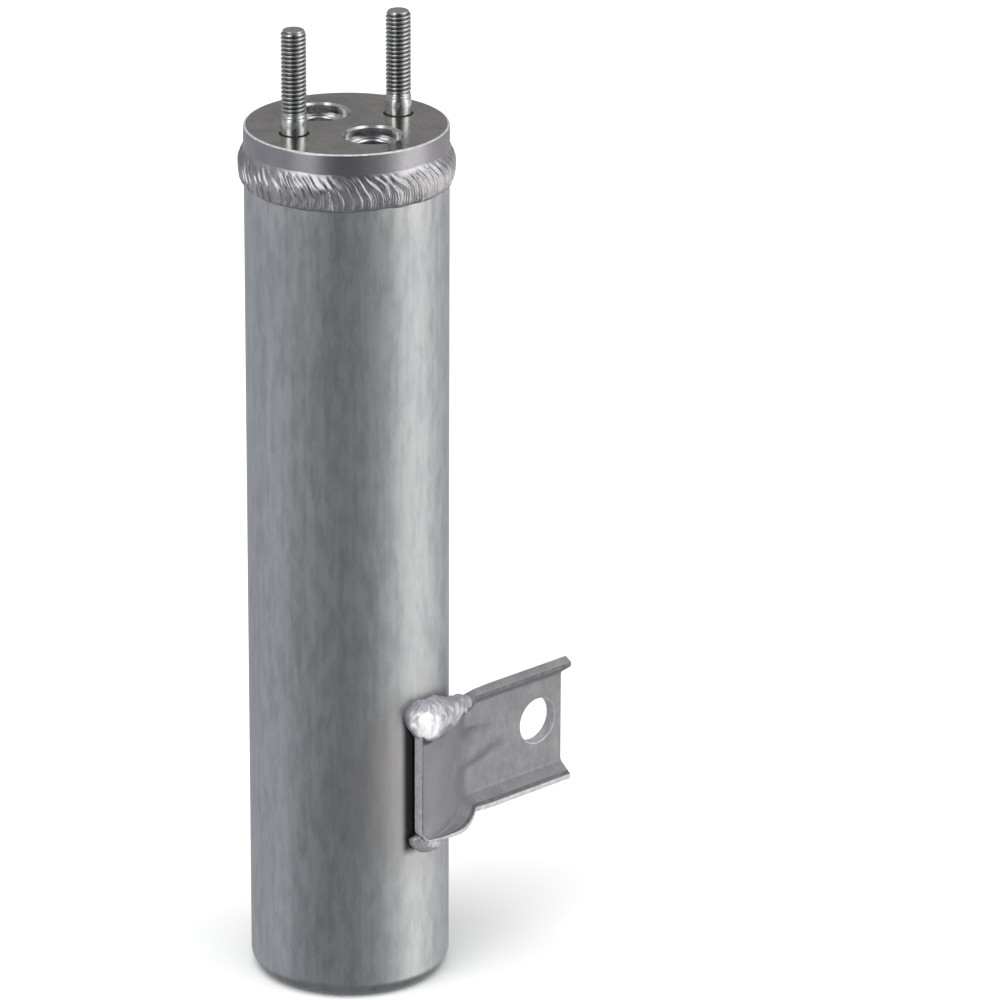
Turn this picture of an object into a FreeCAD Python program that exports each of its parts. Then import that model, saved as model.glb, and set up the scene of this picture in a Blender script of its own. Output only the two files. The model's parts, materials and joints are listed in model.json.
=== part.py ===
import FreeCAD, Part
import math
import os

# Receiver drier: an extruded aluminium can closed by a welded head block with two ports and two
# studs, a welded bracket on its side, and the filter stack inside.
# Frame: millimetres, +Z up, origin at the centre of the can's base, +X along the line of the
# studs, +Y towards the blind port.

V = FreeCAD.Vector
UP = V(0, 0, 1)
ORIGIN = V(0, 0, 0)

# Can
can_od = 48.0            # outside diameter
can_wall = 1.8           # side wall
can_floor = 3.0          # closed end
base_round = 4.2         # outside rounding round the base
face_height = 212.8      # base to the top face of the head
over = 1.0               # how far a cutting tool runs past the part

# Head block
rim_height = 9.0         # part of the head that stands above the can's edge
spigot_depth = 10.0      # part of the head that plugs the can
spigot_clearance = 0.03
head_chamfer = 0.5       # chamfer round the top face

# Weld round the head
weld_groove = 1.2        # bevel on the can's edge and on the head, filled by the weld
weld_above = 5.6         # bead above the joint
weld_below = 4.8         # bead below the joint
weld_proud = 1.3         # bead's height over the can

# Studs, M6 x 1
stud_pitch = 28.5        # between the two axes
stud_d = 5.9             # over the thread
stud_standing = 25.0     # above the face
stud_sunk = 11.0         # below the face
stud_sunk_d = 5.4        # plain shank below the face
collar_d = 6.3           # plain shoulder at the foot of the thread, at its widest
collar_height = 4.6
stud_neck = 0.25         # how far the ring above the shoulder is cut in
neck_height = 0.5
collar_widest = 0.45     # height of its widest point, as a share of the shoulder's height
collar_step = 0.05       # ledge at the top of the shoulder
stud_end_height = 0.9    # chamfer on the stud's free end
stud_end_inset = 0.54
stud_seat_d = 7.2        # countersink round each stud
stud_seat_clearance = 0.05

# Ports
port_pitch = 21.5        # between the two axes
port_line_angle = 93.0   # direction of the line through both ports, from +X
port_mouth_d = 14.4
counterbore_d = 13.4
counterbore_depth = 2.8
port_d = 10.3            # bore that takes the line's nipple
port_depth = 8.6         # depth of that bore below the face
port_chamfer = 0.4       # lead-in at the top of that bore
outlet_d = 9.4           # narrower passage below it, outlet side
outlet_depth = 12.0      # end of that passage, where the tube's socket starts
blind_d = 9.8            # narrower pocket below it, inlet side
blind_depth = 12.5
drill_point = 118.0      # angle of the drill's point, in degrees
inlet_passage_d = 4.0    # passage from the blind pocket into the can
inlet_passage_offset = 2.4

# Bracket, one piece of sheet
sheet = 3.0
arm_angle = 9.5          # direction of the arm, from +X
arm_back = 15.7          # can's axis to the back of the arm
arm_reach = 52.4         # can's axis to the end of the arm, along the arm
arm_half = 11.55         # half height of the flat between the creases, on the arm
foot_half = 14.65        # half height of the flat between the creases, on the foot
bracket_level = 54.65    # height of the bracket's middle line
foot_gap = 0.3           # between the can and the foot
foot_end_angle = -82.5   # where the foot ends on the can, from +X
foot_corner = 2.5        # rounding of the foot's corners
bend_radius = 5.5        # inside radius of the bend between foot and arm
crease_radius = 1.0      # inside radius of the crease along each flange
flange_reach = 3.5       # flange beyond the sheet's front face
arm_flange_rise = 2.6    # how far the arm's flange opens outwards over that reach
foot_flange_rise = 0.4   # the same on the foot
flange_edge = 1.25       # square part of the flange's edge
flange_land = 1.95       # sloping part of the flange's edge
flange_land_rise = 0.95
foot_flange = 0.9        # share of the flange that is left on the foot
flange_fade_angle = -54.0   # where the rest of it begins to fade, from +X
faded_edge = 0.3         # what is left of the flange's edge, land and reach at the foot's end
faded_land_rise = 0.25
faded_outer_radius = 0.4
faded_inner_radius = 0.1
taper_length = 6.0       # straight end of the arm, over which the flange starts to shrink
flare_start = 2.5        # along the sheet from the bend, where the arm begins to widen
flare_length = 19.0      # over which it widens to the foot
taper_stations = 4       # sections along the arm's tapered end
bend_stations = 10       # sections round the bend
foot_stations = 16       # sections along the foot
corner_shares = (0.3, 0.55, 0.75, 0.9, 1.0)   # sections on its rounded corners, as shares of the rounding
arc_steps = 3            # flats round each crease
hole_d = 11.3
hole_from_end = 7.9      # the arm's end to the hole
hole_level = 55.6
dart_radius = 5.2        # stiffening dart pressed across the bend
dart_arm_end = 34.8      # where the dart runs out on the arm
dart_foot_end = -54.0    # where it runs out on the foot, as an angle on the can
dart_arm_level = 56.6
dart_foot_level = 55.4

# Welds that hold the bracket
top_bead_radius = 5.2
top_bead_level = 70.2
low_bead_radius = 2.5
low_bead_level = 38.2
# Each line is one section of a bead: its angle from +X, and then, as shares of the bead's radius,
# its height over the bead's level, how far its middle stands off the can, and its own radius.
top_bead = (
    (-89.0, 0.27, 0.15, 0.23),
    (-86.0, 0.19, 0.19, 0.6),
    (-81.0, 0.08, 0.19, 0.92),
    (-74.0, -0.02, 0.21, 1.02),
    (-67.0, -0.04, 0.25, 0.96),
    (-60.0, 0.0, 0.4, 0.74),
    (-54.0, 0.08, 0.7, 0.52),
    (-49.0, 0.1, 0.94, 0.37),
    (-46.5, 0.08, 0.98, 0.15),
)
low_bead = (
    (-86.0, 0.48, 0.32, 0.4),
    (-82.0, 0.24, 0.4, 0.8),
    (-75.0, 0.0, 0.4, 1.0),
    (-68.0, -0.08, 0.4, 0.84),
    (-62.0, 0.0, 0.4, 0.48),
)
bead_sides = 14          # flats round each bead

# Filter stack inside the can
tube_od = 8.0
tube_wall = 0.9
tube_end = 14.0          # lower end of the pickup tube
socket_clearance = 0.03
seal_section = 1.6       # seal ring round the tube in the head
stack_clearance = 0.4    # between the stack and the can
plate_gauge = 1.2
pad_depth = 5.0
stack_bottom = 40.0      # underside of the lower plate
charge_depth = 112.0
plate_hole_d = 4.4
plate_ring_r = 16.6
plate_hole_count = 12    # places round the ring; those under the tube stay closed
clip_od = 15.0
clip_gauge = 1.0
spring_clearance = 2.2   # between the spring and the can's wall
spring_wire = 2.2
spring_turns = 3.5
spring_sides = 10        # flats round the wire
spring_steps = 24        # sections to a turn
strainer_od = 13.0
strainer_top = 24.0
strainer_collar = 8.0    # length of its sleeve round the tube
strainer_bottom = 5.5
strainer_rib = 1.4
strainer_mesh = 0.5

# Values worked out from the ones above
can_r = can_od / 2
bore_r = can_r - can_wall
can_top = face_height - rim_height
head_bottom = can_top - spigot_depth
port_dir = V(math.cos(math.radians(port_line_angle)), math.sin(math.radians(port_line_angle)), 0)
blind_port = port_dir * (port_pitch / 2)
open_port = port_dir * (-port_pitch / 2)
tube_r = tube_od / 2
stack_r = bore_r - stack_clearance
charge_bottom = stack_bottom + plate_gauge + pad_depth
charge_top = charge_bottom + charge_depth
upper_plate_bottom = charge_top + pad_depth
upper_plate_top = upper_plate_bottom + plate_gauge
hole_reach = arm_reach - hole_from_end
spring_od = (bore_r - spring_clearance) * 2


def cylinder(radius, bottom, top, at=ORIGIN):
    return Part.makeCylinder(radius, top - bottom, V(at.x, at.y, bottom), UP)


def turned(points, at=ORIGIN):
    """Solid of revolution about a vertical axis, from (radius, height) points."""
    outline = [V(r, 0, z) for r, z in points]
    face = Part.Face(Part.makePolygon(outline + [outline[0]]))
    solid = face.revolve(ORIGIN, UP, 360)
    solid.translate(V(at.x, at.y, 0))
    return solid


def save(node, shape):
    shape.exportStep("parts/" + node + ".step")


# Can

def make_canister():
    outer = cylinder(can_r, 0, can_top)
    base_edge = [e for e in outer.Edges if e.BoundBox.ZMax < base_round]
    outer = outer.makeFillet(base_round, base_edge)
    inner = cylinder(bore_r, can_floor, can_top)
    bevel = turned([
        (can_r - weld_groove, can_top), (can_r + over, can_top),
        (can_r + over, can_top - weld_groove - over), (can_r, can_top - weld_groove),
    ])
    return outer.cut(inner).cut(bevel)


# Head block

def port_tool(at, narrow_d, narrow_depth):
    """What a drill leaves for one port, from its mouth down to the narrower passage."""
    mouth = (port_mouth_d - counterbore_d) / 2
    top = face_height
    return turned([
        (0, top + over), (port_mouth_d / 2 + over, top + over), (port_mouth_d / 2, top),
        (counterbore_d / 2, top - mouth), (counterbore_d / 2, top - counterbore_depth),
        (port_d / 2 + port_chamfer, top - counterbore_depth),
        (port_d / 2, top - counterbore_depth - port_chamfer),
        (port_d / 2, top - port_depth), (narrow_d / 2, top - port_depth),
        (narrow_d / 2, top - narrow_depth), (0, top - narrow_depth),
    ], at)


def make_head():
    block = turned([
        (0, head_bottom), (bore_r - spigot_clearance, head_bottom), (bore_r - spigot_clearance, can_top),
        (can_r - weld_groove, can_top), (can_r, can_top + weld_groove),
        (can_r, face_height - head_chamfer), (can_r - head_chamfer, face_height), (0, face_height),
    ])
    point_depth = blind_d / 2 / math.tan(math.radians(drill_point / 2))
    point_top = face_height - blind_depth
    tools = [
        port_tool(open_port, outlet_d, outlet_depth),
        cylinder(tube_r + socket_clearance, head_bottom, face_height - outlet_depth, open_port),
        cylinder(tube_r + seal_section, head_bottom, head_bottom + seal_section, open_port),
        port_tool(blind_port, blind_d, blind_depth),
        turned([(0, point_top), (blind_d / 2, point_top), (0, point_top - point_depth)], blind_port),
        cylinder(inlet_passage_d / 2, head_bottom, point_top, blind_port + V(inlet_passage_offset, 0, 0)),
    ]
    seat_depth = (stud_seat_d - collar_d) / 2
    for x in (-stud_pitch / 2, stud_pitch / 2):
        at = V(x, 0, 0)
        tools.append(cylinder(stud_sunk_d / 2 + stud_seat_clearance, face_height - stud_sunk, face_height, at))
        tools.append(turned([
            (0, face_height + over), (stud_seat_d / 2 + over, face_height + over),
            (stud_seat_d / 2, face_height), (collar_d / 2, face_height - seat_depth),
            (0, face_height - seat_depth),
        ], at))
    return block.cut(tools)


def make_head_weld():
    upper = V(can_r, 0, can_top + weld_above)
    crown = V(can_r + weld_proud, 0, can_top + (weld_above - weld_below) / 4)
    lower = V(can_r, 0, can_top - weld_below)
    edges = [
        Part.Arc(upper, crown, lower).toShape(),
        Part.makeLine(lower, V(can_r, 0, can_top - weld_groove)),
        Part.makeLine(V(can_r, 0, can_top - weld_groove), V(can_r - weld_groove, 0, can_top)),
        Part.makeLine(V(can_r - weld_groove, 0, can_top), V(can_r, 0, can_top + weld_groove)),
        Part.makeLine(V(can_r, 0, can_top + weld_groove), upper),
    ]
    return Part.Face(Part.Wire(edges)).revolve(ORIGIN, UP, 360)


# Studs

def make_stud(x):
    r = stud_d / 2
    sunk_r = stud_sunk_d / 2
    bottom = face_height - stud_sunk
    top = face_height + stud_standing
    seat_depth = (stud_seat_d - collar_d) / 2
    shoulder = face_height + collar_height
    lower_edge = V(r, 0, face_height - seat_depth)
    widest = V(collar_d / 2, 0, face_height + collar_height * collar_widest)
    upper_edge = V(r + collar_step, 0, shoulder)
    outline = [
        V(sunk_r, 0, bottom), V(sunk_r, 0, face_height - seat_depth), lower_edge, upper_edge,
        V(r - stud_neck, 0, shoulder), V(r - stud_neck, 0, shoulder + neck_height),
        V(r, 0, shoulder + neck_height + stud_neck), V(r, 0, top - stud_end_height),
        V(r - stud_end_inset, 0, top), V(0, 0, top), V(0, 0, bottom),
    ]
    edges = []
    for i, start in enumerate(outline):
        end = outline[(i + 1) % len(outline)]
        if start is lower_edge:
            edges.append(Part.Arc(start, widest, end).toShape())
        else:
            edges.append(Part.makeLine(start, end))
    solid = Part.Face(Part.Wire(edges)).revolve(ORIGIN, UP, 360)
    solid.translate(V(x, 0, 0))
    return solid


# Bracket

arm_dir = V(math.cos(math.radians(arm_angle)), math.sin(math.radians(arm_angle)), 0)
arm_out = V(arm_dir.y, -arm_dir.x, 0)
foot_back = can_r + foot_gap
bend_axis_r = foot_back + sheet + bend_radius
bend_axis_out = arm_back + sheet + bend_radius
bend_start = math.sqrt(bend_axis_r ** 2 - bend_axis_out ** 2)
bend_axis = arm_dir * bend_start + arm_out * bend_axis_out
bend_axis_angle = math.degrees(math.atan2(bend_axis.y, bend_axis.x))
bend_length = math.radians(bend_axis_angle - (arm_angle - 90)) * (bend_radius + sheet / 2)


def smooth(t):
    t = min(max(t, 0.0), 1.0)
    return t * t * (3 - 2 * t)


def mix(a, b, t):
    return a + (b - a) * t


def rounded(before, corner, after, radius):
    """Points along the arc that rounds a corner of the section, given as (out, up)."""
    ax, ay = before[0] - corner[0], before[1] - corner[1]
    bx, by = after[0] - corner[0], after[1] - corner[1]
    la, lb = math.hypot(ax, ay), math.hypot(bx, by)
    ax, ay, bx, by = ax / la, ay / la, bx / lb, by / lb
    half = math.acos(ax * bx + ay * by) / 2
    reach = radius / math.tan(half)
    mx, my = ax + bx, ay + by
    lm = math.hypot(mx, my)
    centre = (corner[0] + mx / lm * radius / math.sin(half), corner[1] + my / lm * radius / math.sin(half))
    first = math.atan2(corner[1] + ay * reach - centre[1], corner[0] + ax * reach - centre[0])
    last = math.atan2(corner[1] + by * reach - centre[1], corner[0] + bx * reach - centre[0])
    turn = (last - first + math.pi) % (2 * math.pi) - math.pi
    points = []
    for i in range(arc_steps + 1):
        angle = first + turn * i / arc_steps
        points.append((centre[0] + radius * math.cos(angle), centre[1] + radius * math.sin(angle)))
    return points


def half_section(half, rise, flange):
    """Upper half of the sheet's section as points, in (out, up) from its back face."""
    reach = mix(faded_edge, flange_reach, flange)
    edge = mix(faded_edge, flange_edge, flange)
    land = mix(faded_edge, flange_land, flange)
    land_rise = mix(faded_land_rise, flange_land_rise, flange)
    slope = math.atan2(rise, flange_reach)
    front_crease = (sheet, half)
    inner_tip = (sheet + reach, half + reach * math.tan(slope))
    outer_tip = (inner_tip[0], inner_tip[1] + edge)
    land_end = (outer_tip[0] - land, outer_tip[1] + land_rise)
    back_crease = (0, land_end[1] - land_end[0] * math.tan(slope))
    outer_radius = mix(faded_outer_radius, crease_radius + sheet, flange)
    inner_radius = mix(faded_inner_radius, crease_radius, flange)
    outer_arc = rounded((0, 0), back_crease, land_end, outer_radius)
    inner_arc = rounded(inner_tip, front_crease, (sheet, 0), inner_radius)
    return outer_arc + [land_end, outer_tip, inner_tip] + inner_arc


def section(at, out, half, rise, flange):
    """Closed section of the sheet, standing in the plane of the given outward direction."""
    upper = half_section(half, rise, flange)
    lower = [(reach, -up) for reach, up in reversed(upper)]
    points = [at + out * reach + UP * (bracket_level + up) for reach, up in upper + lower]
    return Part.makePolygon(points + [points[0]])


def sheet_station(at, out_angle, along, trim, fade):
    """One section of the sheet. along is measured from the bend's start towards the foot."""
    out = V(math.cos(math.radians(out_angle)), math.sin(math.radians(out_angle)), 0)
    widened = smooth((along - flare_start) / flare_length)
    shrunk = smooth((along + taper_length) / (taper_length + bend_length))
    flange = mix(1, foot_flange, shrunk) * fade
    half = mix(arm_half, foot_half, widened) - trim
    rise = mix(arm_flange_rise, foot_flange_rise, widened)
    return section(at, out, half, rise, flange)


def foot_station(angle):
    """A section on the foot, with the rounding of its corners and the end of its flanges."""
    foot_mid = foot_back + sheet / 2
    out = V(math.cos(math.radians(angle)), math.sin(math.radians(angle)), 0)
    along = bend_length + math.radians(bend_axis_angle - angle) * foot_mid
    to_end = math.radians(angle - foot_end_angle) * foot_mid
    inside = min(max(foot_corner - to_end, 0.0), foot_corner)
    trim = foot_corner - math.sqrt(foot_corner ** 2 - inside ** 2)
    fade = smooth((angle - foot_end_angle) / (flange_fade_angle - foot_end_angle))
    return sheet_station(out * foot_back, angle, along, trim, fade)


def arm_sections():
    """Sections from the arm's free end to the start of the bend."""
    out_angle = arm_angle - 90
    sections = [sheet_station(arm_dir * arm_reach + arm_out * arm_back, out_angle, -taper_length, 0, 1)]
    for i in range(taper_stations):
        before = taper_length * (1 - i / taper_stations)
        at = arm_dir * (bend_start + before) + arm_out * arm_back
        sections.append(sheet_station(at, out_angle, -before, 0, 1))
    return sections


def bend_sections():
    out_start = arm_angle - 90
    sections = []
    for i in range(bend_stations):
        share = i / bend_stations
        angle = mix(out_start, bend_axis_angle, share)
        out = V(math.cos(math.radians(angle)), math.sin(math.radians(angle)), 0)
        at = bend_axis - out * (sheet + bend_radius)
        sections.append(sheet_station(at, angle, bend_length * share, 0, 1))
    return sections


def foot_sections():
    """Sections from the end of the bend to the foot's end, round its corners."""
    corner_angle = math.degrees(foot_corner / (foot_back + sheet / 2))
    corner_start = foot_end_angle + corner_angle
    sections = []
    for i in range(foot_stations):
        sections.append(foot_station(mix(bend_axis_angle, corner_start, i / (foot_stations - 1))))
    for share in corner_shares:
        sections.append(foot_station(corner_start - corner_angle * share))
    return sections


def dart_roller(radius):
    """Cylinder that presses the dart: its crest runs from the foot's face to the arm's face."""
    foot_angle = math.radians(dart_foot_end)
    foot_point = V(math.cos(foot_angle), math.sin(foot_angle), 0) * (foot_back + sheet)
    foot_point.z = dart_foot_level
    arm_point = arm_dir * dart_arm_end + arm_out * (arm_back + sheet)
    arm_point.z = dart_arm_level
    crest = (arm_point - foot_point).normalize()
    inward = crest.cross(UP).normalize()
    if inward.dot(arm_out) > 0:
        inward = inward * -1
    length = (arm_point - foot_point).Length
    return Part.makeCylinder(radius, length, foot_point + inward * dart_radius, crest)


def behind_arm_face(depth):
    """Block that holds everything further back than the given depth under the arm's face."""
    size = arm_reach * 2
    block = Part.makeBox(size, size, size)
    block.translate(V(-size / 2, 0, bracket_level - size / 2))
    block.rotate(ORIGIN, UP, arm_angle)
    block.translate(arm_out * (arm_back + sheet - depth))
    return block


def make_bracket():
    blank = Part.makeLoft(arm_sections() + bend_sections() + foot_sections(), True, True)
    root = sheet / 2
    dart_outside = dart_roller(dart_radius)
    dart_outside = dart_outside.cut([cylinder(foot_back + root, 0, face_height), behind_arm_face(root)])
    dart_inside = dart_roller(dart_radius - sheet)
    hole_start = arm_dir * hole_reach + arm_out * (arm_back - over) + UP * hole_level
    hole = Part.makeCylinder(hole_d / 2, sheet + over * 2, hole_start, arm_out)
    return blank.fuse(dart_outside).cut(dart_inside).cut(hole)


# Welds that hold the bracket

def bead(stations, level, bead_radius):
    """A weld bead laid along the can, through its sections."""
    sections = []
    for angle, rise, stand_off, share in stations:
        turn = math.radians(angle)
        out = V(math.cos(turn), math.sin(turn), 0)
        middle = out * (can_r + stand_off * bead_radius) + UP * (level + rise * bead_radius)
        radius = share * bead_radius
        corners = []
        for k in range(bead_sides):
            around = 2 * math.pi * (k + 0.5) / bead_sides
            corners.append(middle + out * (radius * math.cos(around)) + UP * (radius * math.sin(around)))
        sections.append(Part.makePolygon(corners + [corners[0]]))
    return Part.makeLoft(sections, True, True)


def make_bracket_welds():
    can = cylinder(can_r, 0, face_height)
    foot = Part.makeLoft(bend_sections() + foot_sections(), True, True)
    top = bead(top_bead, top_bead_level, top_bead_radius)
    low = bead(low_bead, low_bead_level, low_bead_radius)
    return top.cut(can).cut(foot), low.cut(can).cut(foot)


# Filter stack inside the can

def ring(outer_r, inner_r, bottom, top, at=ORIGIN, inner_at=None):
    hole_at = at if inner_at is None else inner_at
    return cylinder(outer_r, bottom, top, at).cut(cylinder(inner_r, bottom - over, top + over, hole_at))


def make_tube():
    top = face_height - outlet_depth
    return ring(tube_r, tube_r - tube_wall, tube_end, top, open_port)


def make_tube_seal():
    """Rubber ring between the tube and its recess in the head."""
    return ring(tube_r + seal_section, tube_r, head_bottom, head_bottom + seal_section, open_port)


def make_plate(bottom):
    plate = ring(stack_r, tube_r, bottom, bottom + plate_gauge, ORIGIN, open_port)
    holes = []
    for i in range(plate_hole_count):
        turn = 2 * math.pi * i / plate_hole_count
        at = V(plate_ring_r * math.cos(turn), plate_ring_r * math.sin(turn), 0)
        if (at - open_port).Length > tube_r + plate_hole_d:
            holes.append(cylinder(plate_hole_d / 2, bottom - over, bottom + plate_gauge + over, at))
    return plate.cut(holes)


def make_spring():
    """Coil with ground-flat ends left out: it rests on the plate and against the head."""
    wire_r = spring_wire / 2
    mean_r = spring_od / 2 - wire_r
    start = upper_plate_top + wire_r
    rise = head_bottom - upper_plate_top - spring_wire
    count = round(spring_turns * spring_steps)
    sections = []
    for i in range(count + 1):
        turn = 2 * math.pi * i / spring_steps
        out = V(math.cos(turn), math.sin(turn), 0)
        middle = out * mean_r + UP * (start + rise * i / count)
        corners = []
        for k in range(spring_sides):
            around = 2 * math.pi * (k + 0.5) / spring_sides
            corners.append(middle + out * (wire_r * math.cos(around)) + UP * (wire_r * math.sin(around)))
        sections.append(Part.makePolygon(corners + [corners[0]]))
    return Part.makeLoft(sections, True, True)


def make_strainer():
    """Moulded cage with a floor and four ribs, and the mesh sleeve inside it."""
    outer_r = strainer_od / 2
    inner_r = outer_r - strainer_rib
    collar_bottom = strainer_top - strainer_collar
    floor_top = strainer_bottom + strainer_rib
    collar = ring(outer_r, tube_r, collar_bottom, strainer_top, open_port)
    floor = cylinder(outer_r, strainer_bottom, floor_top, open_port)
    wall = ring(outer_r, inner_r, strainer_bottom, collar_bottom + over, open_port)
    windows = []
    for turn in (45, 135):
        slot = Part.makeBox(strainer_od + over * 2, strainer_od / 2, collar_bottom - floor_top)
        slot.translate(V(-strainer_od / 2 - over, -strainer_od / 4, floor_top))
        slot.rotate(ORIGIN, UP, turn)
        slot.translate(open_port)
        windows.append(slot)
    cage = collar.fuse([floor, wall.cut(windows)])
    mesh = ring(inner_r, inner_r - strainer_mesh, floor_top, collar_bottom, open_port)
    return cage, mesh


def build():
    os.makedirs("parts", exist_ok=True)
    save("canister", make_canister())
    save("head", make_head())
    save("head_weld", make_head_weld())
    save("stud_left", make_stud(-stud_pitch / 2))
    save("stud_right", make_stud(stud_pitch / 2))
    weld_top, weld_bottom = make_bracket_welds()
    save("bracket", make_bracket())
    save("bracket_weld_top", weld_top)
    save("bracket_weld_bottom", weld_bottom)
    save("pickup_tube", make_tube())
    save("tube_seal", make_tube_seal())
    save("lower_clip", ring(clip_od / 2, tube_r, stack_bottom - clip_gauge, stack_bottom, open_port))
    save("lower_plate", make_plate(stack_bottom))
    save("lower_pad", ring(stack_r, tube_r, stack_bottom + plate_gauge, charge_bottom, ORIGIN, open_port))
    save("desiccant_charge", ring(stack_r, tube_r, charge_bottom, charge_top, ORIGIN, open_port))
    save("upper_pad", ring(stack_r, tube_r, charge_top, upper_plate_bottom, ORIGIN, open_port))
    save("upper_plate", make_plate(upper_plate_bottom))
    save("retaining_spring", make_spring())
    cage, mesh = make_strainer()
    save("strainer_cage", cage)
    save("strainer_mesh", mesh)


build()
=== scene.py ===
import bpy
import bmesh
import json
from math import acos, atan2, cos, degrees, floor, hypot, pi, radians, sin, sqrt, tan
from mathutils import Matrix, Vector, noise

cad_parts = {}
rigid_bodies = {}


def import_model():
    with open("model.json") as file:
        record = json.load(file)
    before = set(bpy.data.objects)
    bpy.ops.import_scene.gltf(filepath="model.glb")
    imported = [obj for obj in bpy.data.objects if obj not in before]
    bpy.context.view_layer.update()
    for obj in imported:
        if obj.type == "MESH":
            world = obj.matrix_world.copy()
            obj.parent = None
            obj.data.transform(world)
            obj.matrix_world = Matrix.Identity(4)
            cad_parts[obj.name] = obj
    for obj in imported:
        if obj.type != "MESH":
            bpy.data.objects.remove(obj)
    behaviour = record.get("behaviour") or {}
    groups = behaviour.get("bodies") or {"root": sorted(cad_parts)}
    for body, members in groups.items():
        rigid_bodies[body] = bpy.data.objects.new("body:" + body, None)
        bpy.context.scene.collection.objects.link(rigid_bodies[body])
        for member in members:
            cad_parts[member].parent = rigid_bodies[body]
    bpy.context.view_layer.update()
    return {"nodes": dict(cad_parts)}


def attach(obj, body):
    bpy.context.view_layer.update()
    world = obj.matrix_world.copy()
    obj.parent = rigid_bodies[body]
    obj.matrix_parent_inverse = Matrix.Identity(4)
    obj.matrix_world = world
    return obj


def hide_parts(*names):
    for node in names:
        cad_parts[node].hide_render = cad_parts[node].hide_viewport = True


# Scene of the receiver drier. Lengths are millimetres until a mesh is made, and metres in Blender.

for leftover in list(bpy.data.objects):
    bpy.data.objects.remove(leftover)
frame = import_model()
scene = bpy.context.scene

MM = 0.001
UP = Vector((0, 0, 1))


def outward(turn):
    """The level direction at an angle seen from above."""
    return Vector((cos(turn), sin(turn), 0))


# Sizes that are the same in the solids
can_r = 24.0
bore_r = 22.2
can_floor = 3.0
base_round = 4.2
face_height = 212.8
can_top = 203.8
head_bottom = 193.8
head_chamfer = 0.5
weld_groove = 1.2
weld_above = 5.6
weld_below = 4.8
weld_proud = 1.3
stud_x = 14.25
stud_r = 2.95
stud_sunk_r = 2.7
stud_hole_r = stud_sunk_r + 0.05
stud_top = 237.8
stud_bottom = 201.8
seat_r = 3.6
seat_depth = 0.45
counterbore_r = 6.7
counterbore_depth = 2.8
mouth_chamfer = 0.5
port_r = 5.15
port_depth = 8.6
port_chamfer = 0.4
outlet_r = 4.7
outlet_depth = 12.0
tube_socket_r = 4.03
seal_r = 5.6
seal_height = 1.6
pocket_r = 4.9
pocket_depth = 12.5
passage_r = 2.0
passage_top = face_height - pocket_depth
passage_aside = 2.4
centre = Vector((0, 0, 0))
port_dir = outward(radians(93))
blind_port = port_dir * 10.75
open_port = port_dir * -10.75


# Mesh helpers

def on_circle(radius, height, at, turn):
    """The point at an angle on a level circle."""
    return Vector((at.x + radius * cos(turn), at.y + radius * sin(turn), height))


def turned_rings(profile, at, count):
    """Rings of points from a turned profile of (radius, height); no radius gives a single point."""
    rings = []
    for radius, height in profile:
        points = count if radius > 0 else 1
        rings.append([on_circle(radius, height, at, 2 * pi * k / points) for k in range(points)])
    return rings


def eased(profile, radius=0.12, steps=3):
    """The same turned profile with each of its corners rounded a little."""
    points = [profile[0]]
    for before, corner, after in zip(profile, profile[1:], profile[2:]):
        a = Vector(before) - Vector(corner)
        b = Vector(after) - Vector(corner)
        reach = min(radius, a.length * 0.45, b.length * 0.45)
        if a.angle(b) > radians(150) or reach < 0.01:
            points.append(corner)
            continue
        start = Vector(corner) + a.normalized() * reach
        end = Vector(corner) + b.normalized() * reach
        for i in range(steps + 1):
            t = i / steps
            point = start * (1 - t) ** 2 + Vector(corner) * (2 * t * (1 - t)) + end * t ** 2
            points.append((point.x, point.y))
    points.append(profile[-1])
    return points


def skin(bm, rings, closed=False):
    """Faces between rings of points; a ring of one point is a pole."""
    made = [[bm.verts.new(point) for point in ring] for ring in rings]
    pairs = list(zip(made, made[1:]))
    if closed:
        pairs.append((made[-1], made[0]))
    faces = []
    for low, high in pairs:
        count = max(len(low), len(high))
        for k in range(count):
            n = (k + 1) % count
            if len(low) == 1:
                faces.append(bm.faces.new((low[0], high[n], high[k])))
            elif len(high) == 1:
                faces.append(bm.faces.new((low[k], low[n], high[0])))
            else:
                faces.append(bm.faces.new((low[k], low[n], high[n], high[k])))
    return made, faces


def turned(bm, profile, at, count):
    return skin(bm, turned_rings(profile, at, count))


def to_object(bm, name, sharp=40, weighted=True):
    bmesh.ops.remove_doubles(bm, verts=bm.verts, dist=0.0005)
    bmesh.ops.recalc_face_normals(bm, faces=bm.faces)
    mesh = bpy.data.meshes.new(name)
    bm.to_mesh(mesh)
    bm.free()
    mesh.transform(Matrix.Scale(MM, 4))
    mesh.shade_smooth()
    mesh.set_sharp_from_angle(angle=radians(sharp))
    piece = bpy.data.objects.new(name, mesh)
    scene.collection.objects.link(piece)
    if weighted:
        modifier = piece.modifiers.new("even_normals", "WEIGHTED_NORMAL")
        modifier.keep_sharp = True
    return piece


def finished(piece, replaced, materials):
    for material in materials:
        piece.data.materials.append(material)
    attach(piece, "root")
    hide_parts(replaced)
    return piece


def apply_modifiers(piece):
    depsgraph = bpy.context.evaluated_depsgraph_get()
    mesh = bpy.data.meshes.new_from_object(piece.evaluated_get(depsgraph))
    piece.modifiers.clear()
    piece.data = mesh


def smooth(t):
    t = min(max(t, 0.0), 1.0)
    return t * t * (3 - 2 * t)


def mix(a, b, t):
    return a + (b - a) * t


def rough(point, scale, seed=0.0):
    """Smooth repeatable noise between about -1 and 1."""
    return noise.noise(Vector((point.x / scale + seed, point.y / scale - seed, point.z / scale + seed * 2)))


# Material helpers

# The node tree that these add to: the newest material's, or the world's
tree = None


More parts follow.
